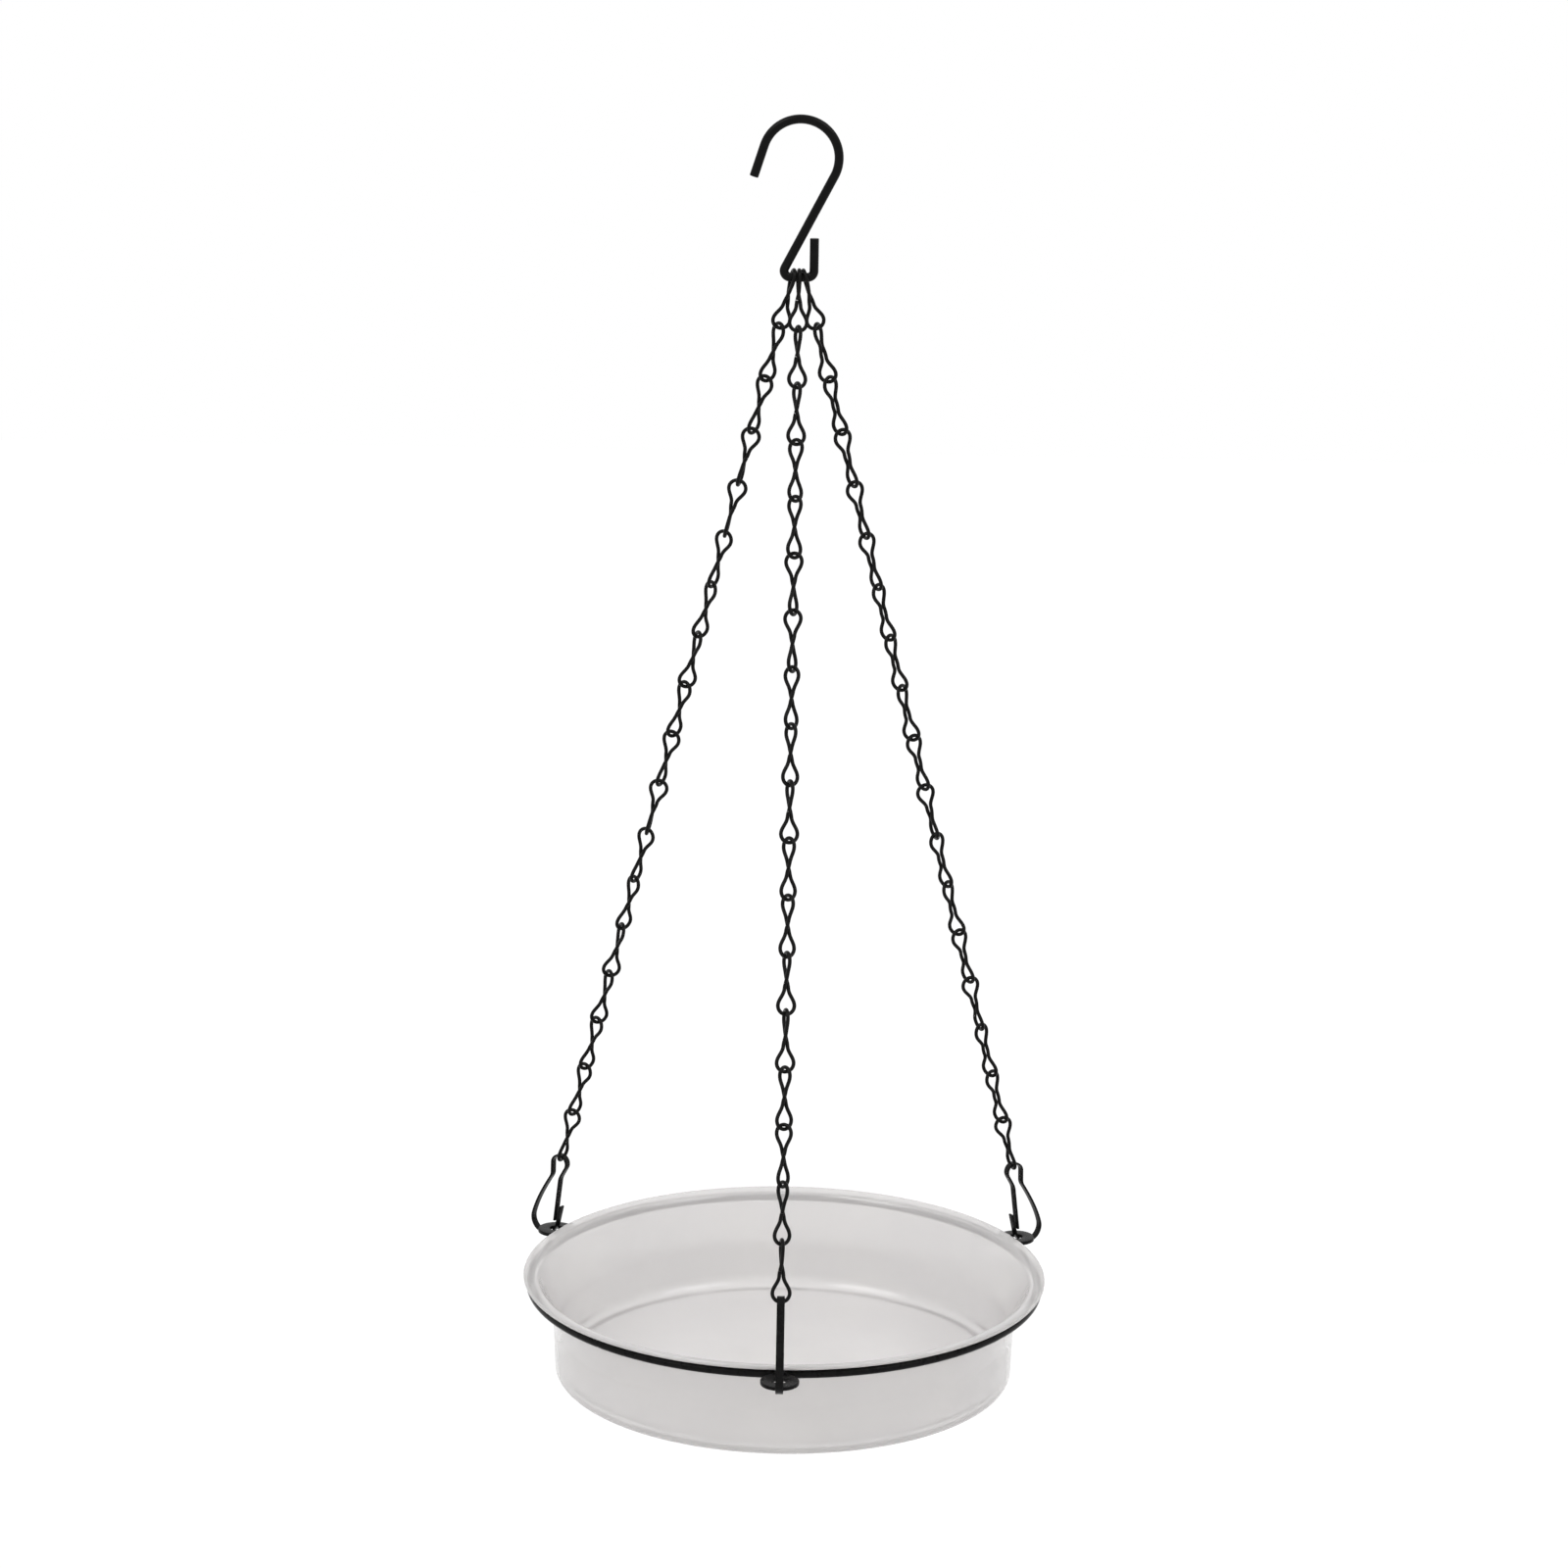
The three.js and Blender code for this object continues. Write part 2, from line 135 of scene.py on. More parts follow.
@dataclass
class Surface:
    """A closed surface: points, four-sided faces, and three-sided faces that close its ends."""

    points: Array
    quads: Array
    caps: Array = field(default_factory=lambda: np.empty((0, 3), int))

    def volume(self) -> float:
        """Signed volume, which is positive where the faces point outwards.

        It is a sixth of the sum of a . (b x c) over all triangles with the corners a, b and c.

        Returns:
            The volume in cubic metres.
        """
        halves = [self.quads[:, [0, 1, 2]], self.quads[:, [0, 2, 3]], self.caps]
        corners = self.points[np.concatenate(halves)]
        return float(np.einsum("ij,ij->", corners[:, 0], np.cross(corners[:, 1], corners[:, 2])) / 6)

    def outwards(self) -> "Surface":
        """The same surface with its faces pointing outwards.

        Returns:
            This surface, or one with every face turned round.
        """
        if self.volume() >= 0:
            return self
        return Surface(self.points, self.quads[:, ::-1], self.caps[:, ::-1])

    def placed(self, axes: Array, origin: Array) -> "Surface":
        """The surface carried into a frame, whose X, Y and Z are the rows of axes."""
        return Surface(self.points @ axes + origin, self.quads, self.caps)

    @staticmethod
    def together(parts: list["Surface"]) -> "Surface":
        """Several surfaces as the shells of one mesh.

        Args:
            parts: The surfaces.

        Returns:
            One surface that holds them all.
        """
        starts = np.cumsum([0] + [len(part.points) for part in parts[:-1]])
        return Surface(
            np.concatenate([part.points for part in parts]),
            np.concatenate([part.quads + start for part, start in zip(parts, starts)]),
            np.concatenate([part.caps + start for part, start in zip(parts, starts)]),
        )


def grid_surface(grid: Array, ends: Ends) -> Surface:
    """A closed surface from a grid of points whose columns run round.

    Each cell of the grid is one face. Capped ends get a fan of faces to the middle of the end row.

    Args:
        grid: Points, rows by columns by three.
        ends: Whether the first and last rows are capped or joined to each other.

    Returns:
        The surface, facing outwards.
    """
    rows, columns = grid.shape[:2]
    index = np.arange(rows * columns).reshape(rows, columns)
    following = np.roll(index, -1, axis=1)
    above, above_following = np.roll(index, -1, axis=0), np.roll(following, -1, axis=0)
    cells = np.stack([index, following, above_following, above], axis=-1)
    points = grid.reshape(-1, 3)
    if ends is Ends.JOINED:
        return Surface(points, cells.reshape(-1, 4)).outwards()
    quads = cells[:-1].reshape(-1, 4)
    middles = np.stack([grid[0].mean(axis=0), grid[-1].mean(axis=0)])
    first = np.full(columns, rows * columns)
    fan_in = np.stack([first, following[0], index[0]], axis=-1)
    fan_out = np.stack([first + 1, index[-1], following[-1]], axis=-1)
    caps = np.concatenate([fan_in, fan_out])
    return Surface(np.concatenate([points, middles]), quads, caps).outwards()


def directions(line: Array) -> Array:
    """Unit directions along a line of points, from each point's two neighbours."""
    steps = np.gradient(line, axis=0)
    return steps / np.linalg.norm(steps, axis=1, keepdims=True)


def evenly(line: Array, step: float) -> Array:
    """A line of points cut again into even steps.

    Args:
        line: Points along the line.
        step: The length of a step, about.

    Returns:
        Points an even distance apart, with the same two ends.
    """
    lengths = np.linalg.norm(np.diff(line, axis=0), axis=1)
    travel = np.concatenate([[0.0], np.cumsum(lengths)])
    places = np.linspace(0.0, travel[-1], max(2, round(travel[-1] / step)) + 1)
    return np.stack([np.interp(places, travel, column) for column in line.T], axis=1)


def eased(line: Array, reach: int) -> Array:
    """A line with its corners rounded: each point is the mean of its neighbours within reach.

    Args:
        line: Evenly spaced points.
        reach: How many points on each side count.

    Returns:
        The rounded line, with the same two ends.
    """
    before = 2 * line[0] - line[reach:0:-1]
    after = 2 * line[-1] - line[-2:-reach - 2:-1]
    padded = np.concatenate([before, line, after])
    sums = np.cumsum(np.concatenate([np.zeros((1, line.shape[1])), padded]), axis=0)
    width = 2 * reach + 1
    return (sums[width:] - sums[:-width]) / width


def arc(centre: Point, radius: float, start: float, end: float, points: int = ARC_POINTS) -> Array:
    """Points on a circle: centre plus radius times the cosine and sine of an even run of angles.

    Args:
        centre: The circle's middle.
        radius: Its radius.
        start: First angle in radians.
        end: Last angle in radians.
        points: How many points.

    Returns:
        The points, two numbers each.
    """
    angle = np.linspace(start, end, points)
    return np.array(centre) + radius * np.stack([np.cos(angle), np.sin(angle)], axis=1)


def curve(start: Array, corner: Array, end: Array, points: int = CURVE_POINTS) -> Array:
    """A parabola from start to end that leaves and arrives along the lines through corner.

    Args:
        start: First point.
        corner: Where the two end directions cross.
        end: Last point.
        points: How many points.

    Returns:
        The points, weighted (1-t)^2, 2t(1-t) and t^2.
    """
    t = np.linspace(0.0, 1.0, points)[:, None]
    return (1 - t) ** 2 * start + 2 * t * (1 - t) * corner + t**2 * end


def round_outline(radius: float, sides: int) -> Array:
    """A circle's points about the origin."""
    angle = np.arange(sides) * 2 * math.pi / sides
    return radius * np.stack([np.cos(angle), np.sin(angle)], axis=1)


def flat_outline(thickness: float, width: float, corner: float, points: int = EDGE_POINTS) -> Array:
    """A rectangle with round corners, about the origin.

    Each corner is a quarter circle about a point one corner radius inside the rectangle.

    Args:
        thickness: Size along the first direction.
        width: Size along the second direction.
        corner: Radius of the corners.
        points: Points on each corner.

    Returns:
        The outline's points.
    """
    quarter = np.linspace(0.0, math.pi / 2, points)
    angle = (quarter + np.arange(4)[:, None] * math.pi / 2).ravel()
    inset = np.array([thickness / 2 - corner, width / 2 - corner])
    signs = np.repeat(np.array([[1, 1], [-1, 1], [-1, -1], [1, -1]]), points, axis=0)
    return signs * inset + corner * np.stack([np.cos(angle), np.sin(angle)], axis=1)


def carried(line: Array, beside: Array, outline: Array, ease: float) -> Surface:
    """An outline carried along a line: line + u * across + v * aside, for each outline point (u, v).

    Aside is the given direction made square to the line, and across is square to both. The cut ends
    shrink by ease over a quarter round, so that their edges aren't sharp.

    Args:
        line: Points that the outline's middle follows, further apart than ease at the ends.
        beside: Directions near the outline's second axis, one for all points or one each.
        outline: The outline's points.
        ease: Radius of the eased edge on the cut ends.

    Returns:
        The closed surface.
    """
    along = directions(line)
    across = np.cross(np.broadcast_to(beside, line.shape), along)
    across /= np.linalg.norm(across, axis=1, keepdims=True)
    aside = np.cross(along, across)
    turn = np.linspace(0.0, math.pi / 2, EDGE_POINTS)
    shrink = 1 - ease * (1 - np.sin(turn)) / np.abs(outline).max(axis=0).min()
    offset = ease * (1 - np.cos(turn))
    inner = len(line) - 2
    first, last = np.zeros(len(turn), int), np.full(len(turn), -1)
    station = np.concatenate([first, np.arange(1, inner + 1), last])
    scale = np.concatenate([shrink, np.ones(inner), shrink[::-1]])
    shift = np.concatenate([offset, np.zeros(inner), -offset[::-1]])
    middles = line[station] + shift[:, None] * along[station]
    sized = scale[:, None, None] * outline
    section = sized[..., :1] * across[station][:, None] + sized[..., 1:] * aside[station][:, None]
    return grid_surface(middles[:, None] + section, Ends.CAPPED)


def turned(profile: Array, facets: int, ends: Ends) -> Surface:
    """A profile of (radius, height) turned about the Z axis: (r cos a, r sin a, z) for even angles a.

    Args:
        profile: The profile's points, off the axis.
        facets: Steps round the axis.
        ends: Joined for a profile that closes on itself, capped for one that starts and ends near
            the axis.

    Returns:
        The closed surface.
    """
    angle = np.arange(facets) * 2 * math.pi / facets
    radius, height = profile[:, :1], profile[:, 1:]
    x, y, z = np.broadcast_arrays(radius * np.cos(angle), radius * np.sin(angle), height)
    return grid_surface(np.stack([x, y, z], axis=-1), ends)


def bearing(turn: float, rise: float) -> Array:
    """The direction that lies so far round from the front and so far up.

    Args:
        turn: Angle from the front towards the right, in radians.
        rise: Angle above level, in radians.

    Returns:
        The direction: (sin turn cos rise, -cos turn cos rise, sin rise).
    """
    level = math.cos(rise)
    return np.array([math.sin(turn) * level, -math.cos(turn) * level, math.sin(rise)])


def closeness(points: Array, spots: Array, reach: float) -> Array:
    """How near each point lies to the nearest of some spots: exp(-(distance / reach)^2).

    Args:
        points: The points.
        spots: Where pieces bear on each other.
        reach: Distance over which it fades.

    Returns:
        A number from 0 to 1 for each point.
    """
    distance = np.linalg.norm(points[:, None] - spots[None], axis=2).min(axis=1)
    return np.exp(-((distance / reach) ** 2))


class Nodes:
    """The node tree of one material, with its surface shader and Object coordinates at hand."""

    def __init__(self, name: str) -> None:
        """Starts an empty material.

        Args:
            name: The material's name.
        """
        self.material = bpy.data.materials.new(name)
        self.material.use_nodes = True
        self.tree = self.material.node_tree
        self.tree.nodes.clear()
        self.shader = self.add("ShaderNodeBsdfPrincipled")
        self.place = self.add("ShaderNodeTexCoord").outputs["Object"]
        output = self.add("ShaderNodeOutputMaterial")
        self.join(self.shader.outputs["BSDF"], output.inputs["Surface"])

    def add(self, kind: str, **values: object) -> bpy.types.Node:
        """Adds a node and sets its properties.

        Args:
            kind: Blender's name for the node.
            values: Properties of the node.

        Returns:
            The node.
        """
        node = self.tree.nodes.new(kind)
        for key, value in values.items():
            setattr(node, key, value)
        return node

    def join(self, source: Socket, target: Socket) -> None:
        """Links an output to an input."""
        self.tree.links.new(source, target)

    def noise(self, size: float, detail: float, harshness: float = 0.5) -> Socket:
        """Cloudy noise on the Object coordinates.

        Args:
            size: Size of its largest blots in metres.
            detail: Octaves of finer blots.
            harshness: How strong the finer blots are.

        Returns:
            The socket with the noise, about 0 to 1.
        """
        node = self.add("ShaderNodeTexNoise")
        node.inputs["Scale"].default_value = 1 / size
        node.inputs["Detail"].default_value = detail
        node.inputs["Roughness"].default_value = harshness
        self.join(self.place, node.inputs["Vector"])
        return node.outputs["Fac"]

    def ranged(self, source: Socket, seen: Span, given: Span) -> Socket:
        """A value mapped from one range to another, and held there.

        Args:
            source: The value.
            seen: Range that it comes in.
            given: Range that it leaves in.

        Returns:
            The socket with the mapped value.
        """
        node = self.add("ShaderNodeMapRange", clamp=True)
        node.inputs["From Min"].default_value, node.inputs["From Max"].default_value = seen
        node.inputs["To Min"].default_value, node.inputs["To Max"].default_value = given
        self.join(source, node.inputs["Value"])
        return node.outputs["Result"]

    def product(self, one: Socket, other: Socket) -> Socket:
        """Two values multiplied.

        Args:
            one: A value.
            other: Another value.

        Returns:
            The socket with the product.
        """
        node = self.add("ShaderNodeMath", operation="MULTIPLY")
        self.join(one, node.inputs[0])
        self.join(other, node.inputs[1])
        return node.outputs[0]

    def blended(self, share: Socket, first: Colour | Socket, second: Colour | Socket) -> Socket:
        """Two colours mixed.

        Args:
            share: How much of the second colour shows.
            first: A colour, or a socket that gives one.
            second: A colour, or a socket that gives one.

        Returns:
            The socket with the mixed colour.
        """
        node = self.add("ShaderNodeMix", data_type="RGBA")
        self.join(share, node.inputs["Factor"])
        sockets = [socket for socket in node.inputs if socket.type == "RGBA"]
        for socket, given in zip(sockets, (first, second)):
            if isinstance(given, Socket):
                self.join(given, socket)
            else:
                socket.default_value = (*given, 1.0)
        return next(socket for socket in node.outputs if socket.type == "RGBA")

    def bump(self, height: Socket, depth: float, strength: float) -> None:
        """Gives the shader a relief.

        Args:
            height: The relief's height, about 0 to 1.
            depth: Height of a full step in metres.
            strength: How much of it shows.
        """
        node = self.add("ShaderNodeBump")
        node.inputs["Strength"].default_value = strength
        node.inputs["Distance"].default_value = depth
        self.join(height, node.inputs["Height"])
        self.join(node.outputs["Normal"], self.shader.inputs["Normal"])

    def set(self, **values: float) -> None:
        """Sets plain numbers on the shader's own sockets, named with _ for a space."""
        for key, value in values.items():
            self.shader.inputs[key.replace("_", " ")].default_value = value


@dataclass(frozen=True)
class CoatedSteel:
    """Satin black coat on steel: faint blots, a fine orange peel, a greyer rub where pieces bear."""

    name: str
    deep: Colour
    pale: Colour
    rubbed: Colour
    roughness: Span
    specular: float = 0.08
    blot: float = 4.0 * MM
    blot_detail: float = 4.0
    blot_harshness: float = 0.6
    blot_span: Span = (0.3, 0.7)
    peel: float = 0.5 * MM
    peel_detail: float = 2.0
    peel_depth: float = 0.02 * MM
    peel_strength: float = 0.5
    rub_span: Span = (0.35, 0.6)
    rub_share: float = 0.6
    rub_least: float = 0.2
    bare_metal: float = 0.9

    def material(self) -> bpy.types.Material:
        """Builds the finish as a node material.

        Returns:
            The material.
        """
        nodes = Nodes(self.name)
        socket = nodes.shader.inputs
        blots = nodes.noise(self.blot, self.blot_detail, self.blot_harshness)
        grain = nodes.noise(self.peel, self.peel_detail)
        coat = nodes.blended(nodes.ranged(blots, self.blot_span, FULL), self.deep, self.pale)
        rub = nodes.add("ShaderNodeAttribute", attribute_name=RUB_ATTRIBUTE).outputs["Fac"]
        patchy = nodes.ranged(grain, self.rub_span, (self.rub_least * self.rub_share, self.rub_share))
        bare = nodes.product(rub, patchy)
        nodes.join(nodes.blended(bare, coat, self.rubbed), socket["Base Color"])
        nodes.join(nodes.ranged(blots, self.blot_span, self.roughness), socket["Roughness"])
        nodes.join(nodes.ranged(bare, FULL, (0.0, self.bare_metal)), socket["Metallic"])
        nodes.set(Specular_IOR_Level=self.specular)
        nodes.bump(grain, self.peel_depth, self.peel_strength)
        return nodes.material


@dataclass(frozen=True)
class FrostedPlastic:
    """Milky moulded plastic: it lets light through blurred, with faint clouding and a fine frost."""

    name: str
    milk: Colour
    cloud: Colour
    roughness: Span
    clearness: float
    refraction: float = 1.49
    clouding: float = 45.0 * MM
    cloud_detail: float = 3.0
    cloud_span: Span = (0.35, 0.65)
    frost: float = 0.45 * MM
    frost_detail: float = 3.0
    frost_harshness: float = 0.6
    frost_span: Span = (0.3, 0.7)
    frost_depth: float = 0.02 * MM
    frost_strength: float = 0.25

    def material(self) -> bpy.types.Material:
        """Builds the finish as a node material.

        Returns:
            The material.
        """
        nodes = Nodes(self.name)
        socket = nodes.shader.inputs
        clouds = nodes.noise(self.clouding, self.cloud_detail)
        grain = nodes.noise(self.frost, self.frost_detail, self.frost_harshness)
        tone = nodes.blended(nodes.ranged(clouds, self.cloud_span, FULL), self.milk, self.cloud)
        nodes.join(tone, socket["Base Color"])
        nodes.join(nodes.ranged(grain, self.frost_span, self.roughness), socket["Roughness"])
        nodes.set(Transmission_Weight=self.clearness, IOR=self.refraction)
        nodes.bump(grain, self.frost_depth, self.frost_strength)
        return nodes.material


@dataclass
class Piece:
    """One finished piece: its surface, its finish, and where it rubs."""

    name: str
    surface: Surface
    material: bpy.types.Material
    slot: Slot
    stands_for: str
    spots: Array | None = None
    rub_reach: float = 1.5 * MM

    def made(self) -> bpy.types.Object:
        """Puts the surface into a mesh object at the origin.

        Returns:
            The object, which doesn't ride on a body yet.
        """
        mesh = bpy.data.meshes.new(self.name)
        surface = self.surface
        mesh.from_pydata(surface.points.tolist(), [], surface.quads.tolist() + surface.caps.tolist())
        smooth = np.repeat([True, False], [len(surface.quads), len(surface.caps)])
        mesh.polygons.foreach_set("use_smooth", smooth)
        rub = np.zeros(len(surface.points))
        if self.spots is not None:
            rub = closeness(surface.points, self.spots, self.rub_reach)
        rubbed = mesh.attributes.new(RUB_ATTRIBUTE, "FLOAT", "POINT")
        rubbed.data.foreach_set("value", rub.astype(np.float32))
        mesh.materials.append(self.material)
        mesh.update()
        made = bpy.data.objects.new(self.name, mesh)
        bpy.context.scene.collection.objects.link(made)
        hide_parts(self.stands_for)
        log.info("%s: %d faces, stands for %s", self.name, len(mesh.polygons), self.stands_for)
        return made

    def on_body(self, body: str) -> bpy.types.Object:
        """Makes the piece and lets it ride on the body of that name."""
        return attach(self.made(), body)


def joint_of(name: str) -> dict:
    """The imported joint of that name."""
    return next(joint for joint in frame["joints"] if joint["name"] == name)


def node_points(node: str) -> Array:
    """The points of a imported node's mesh.

    Args:
        node: The node's name.

    Returns:
        The points, three numbers each.
    """
    mesh = frame["nodes"][node].data
    flat = np.empty(3 * len(mesh.vertices))
    mesh.vertices.foreach_get("co", flat)
    return flat.reshape(-1, 3)


@dataclass
class Hook:
    """The S-hook: round wire bent in the XZ plane, with a flat lower bend and a turned-up tip."""

    finish: CoatedSteel
    wire: float = 4.2 * MM
    crook_inside: float = 31.0 * MM
    inside_height: float = 68.1 * MM
    wrap: float = math.radians(162)
    lip: float = 15.0 * MM
    corner: float = 2.9 * MM
    flat_half: float = 4.0 * MM
    tip_rise: float = 18.0 * MM
    link_spacing: float = 2.9 * MM
    sides: int = 32
    step: float = 0.6 * MM
    ease: float = 0.35 * MM

    def line(self) -> Array:
        """The wire's middle in the XZ plane.

        A straight lip runs into the crook's arc. From there a straight that touches both arcs leads to
        the first corner, then come the flat, the second corner and the tip.

        Returns:
            Points of X and Z.
        """
        radius = (self.crook_inside + self.wire) / 2
        crook = (0.0, -self.crook_inside / 2)
        bottom = -self.inside_height - self.wire / 2
        corner_z = bottom + self.corner
        drop = crook[1] - corner_z
        lean = math.atan2(self.flat_half, drop)
        lean += math.asin((radius + self.corner) / math.hypot(self.flat_half, drop))
        bend = arc(crook, radius, self.wrap, -lean, LONG_ARC_POINTS)
        outwards = np.array([-math.sin(self.wrap), math.cos(self.wrap)])
        first = arc((-self.flat_half, corner_z), self.corner, math.pi - lean, 1.5 * math.pi)
        second = arc((self.flat_half, corner_z), self.corner, 1.5 * math.pi, 2 * math.pi)
        tip = np.array([[self.flat_half + self.corner, bottom + self.tip_rise]])
        return np.concatenate([bend[:1] + self.lip * outwards, bend, first, second, tip])

    def build(self) -> None:
        """Makes the hook on its own body."""
        flat = evenly(self.line(), self.step)
        line = np.stack([flat[:, 0], np.zeros(len(flat)), flat[:, 1]], axis=1)
        wire = round_outline(self.wire / 2, self.sides)
        surface = carried(line, np.array([0.0, 1.0, 0.0]), wire, self.ease)
        hang_point = np.zeros((1, 3))
        beside = np.array([[-1.0], [0.0], [1.0]]) * [self.link_spacing, 0.0, 0.0]
        spots = np.concatenate([beside - self.inside_height * UP, hang_point])
        coat = self.finish.material()
        Piece("s_hook_wire", surface, coat, Slot.HOOK, "s_hook", spots).on_body("hook")


@dataclass
class Chain:
    """One chain of figure-eight wire links, whose two loops stand square to each other."""

    side: Side
    finish: bpy.types.Material
    links: int = 18
    joined: int = 2
    wire: float = 1.8 * MM
    inside_length: float = 26.5 * MM
    pitch: float = 26.2 * MM
    loop: float = 4.0 * MM
    taper: float = 7.6 * MM
    waist_gap: float = 0.3 * MM
    butt_gap: float = 0.08 * MM
    twist_length: float = 9.0 * MM
    straight_share: float = 0.4
    sides: int = 16
    steps: int = 112
    ease: float = 0.08 * MM

    def strand(self, way: Array) -> tuple[Array, Array]:
        """Height above the waist and distance from the link's axis along a quarter of its wire.

        From the waist the strand rises and spreads on a half cosine wave, and ends in a quarter circle.

        Args:
            way: From 0 at the waist to 1 at the loop's end.

        Returns:
            The heights and the distances.
        """
        straight = (self.inside_length + self.wire) / 2 - self.loop
        waist = (self.wire + self.waist_gap) / 2
        angle = (way - self.straight_share) / (1 - self.straight_share) * math.pi / 2
        rise = straight * way / self.straight_share
        spread = np.clip((straight - rise) / self.taper, 0.0, 1.0)
        reach = waist + (self.loop - waist) * 0.5 * (1 + np.cos(math.pi * spread))
        round_end = way > self.straight_share
        rise = np.where(round_end, straight + self.loop * np.sin(angle), rise)
        return rise, np.where(round_end, self.loop * np.cos(angle), reach)

    def link(self) -> Surface:
        """One link about its middle, with Z along it.

        The wire goes round the lower loop, up, round the upper loop and down, and butts at the waist.
        Between the loops its plane turns a quarter on a smooth step of the height.

        Returns:
            The link's surface.
        """
        travel = 2 * (self.inside_length + self.wire)
        trim = self.butt_gap / 2 / travel
        turn = np.linspace(trim, 1 - trim, self.steps + 1)
        quarter = np.minimum(np.floor(4 * turn), 3)
        through = 4 * turn - quarter
        rise, reach = self.strand(np.where(quarter % 2 == 0, through, 1 - through))
        z = np.where(quarter < 2, -rise, rise)
        reach = np.where((quarter == 0) | (quarter == 3), -reach, reach)
        share = np.clip(z / self.twist_length + 0.5, 0.0, 1.0)
        twist = share**2 * (3 - 2 * share) * math.pi / 2
        line = np.stack([reach * np.cos(twist), reach * np.sin(twist), z], axis=1)
        beside = np.stack([-np.sin(twist), np.cos(twist), np.zeros_like(z)], axis=1)
        return carried(line, beside, round_outline(self.wire / 2, self.sides), self.ease)

    @staticmethod
    def axes(up: Array) -> Array:
        """The chain's own directions, one in each row: X as near to +X as can be, and Z up along it.

        Args:
            up: The direction up along the chain.

        Returns:
            The three directions.
        """
        aside = np.cross(up, [1.0, 0.0, 0.0])
        aside /= np.linalg.norm(aside)
        return np.stack([np.cross(aside, up), aside, up])

    def turn(self, points: Array) -> float:
        """How far a link is turned about the chain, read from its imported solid.

        The lower loop's plane is the direction in which the loop's points spread most.

        Args:
            points: The solid's points in the chain's own directions, about the link's middle.

        Returns:
            The turn in radians.
        """
        height = points[:, 2]
        in_loop = (height < -self.twist_length / 2) & (height > -self.inside_length / 2)
        x, y = points[in_loop, 0], points[in_loop, 1]
        return 0.5 * math.atan2(2 * float((x * y).mean()), float((x * x - y * y).mean()))

    def bodies(self) -> list[tuple[str, str, int]]:
        """The bodies down the chain.

        Returns:
            Body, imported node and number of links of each.
        """
        word = self.side.word
        pair = f"01_{self.joined:02d}"
        found = [(f"link_{word}_{pair}", f"chain_{word}_links_{pair}", self.joined)]
        singles = range(self.joined + 1, self.links + 1)
        return found + [(f"link_{word}_{i:02d}", f"chain_{word}_link_{i:02d}", 1) for i in singles]

    def hung(self, shape: Surface, body: str, node: str, count: int) -> tuple[Surface, Array]:
        """A body's links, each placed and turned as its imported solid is.

        Args:
            shape: One link about its middle.
            body: The body, which turns about the joint of the same name.
            node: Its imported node.
            count: How many links it has.

        Returns:
            The links' surface, and the spots where they bear on their neighbours.
        """
        joint = joint_of(body)
        axes = self.axes(np.array(joint["axis"]))
        middle = np.array(joint["pos_m"])
        solid = (node_points(node) - middle) @ axes.T
        half = self.inside_length / 2
        parts, spots = [], []
        for rise in ((count - 1) / 2 - np.arange(count)) * self.pitch:
            angle = self.turn(solid - rise * UP)
            cosine, sine = math.cos(angle), math.sin(angle)
            own = np.array([[cosine, sine, 0.0], [-sine, cosine, 0.0], UP])
            parts.append(shape.placed(own @ axes, middle + rise * axes[2]))
            spots += [middle + (rise + half) * axes[2], middle + (rise - half) * axes[2]]
        return Surface.together(parts), np.array(spots)

    def build(self) -> None:
        """Makes the links, each on its own body."""
        shape = self.link()
        for body, node, count in self.bodies():
            links, spots = self.hung(shape, body, node, count)
            name = node.replace("chain_", "") + "_wire"
            Piece(name, links, self.finish, Slot.CHAIN, node, spots).on_body(body)


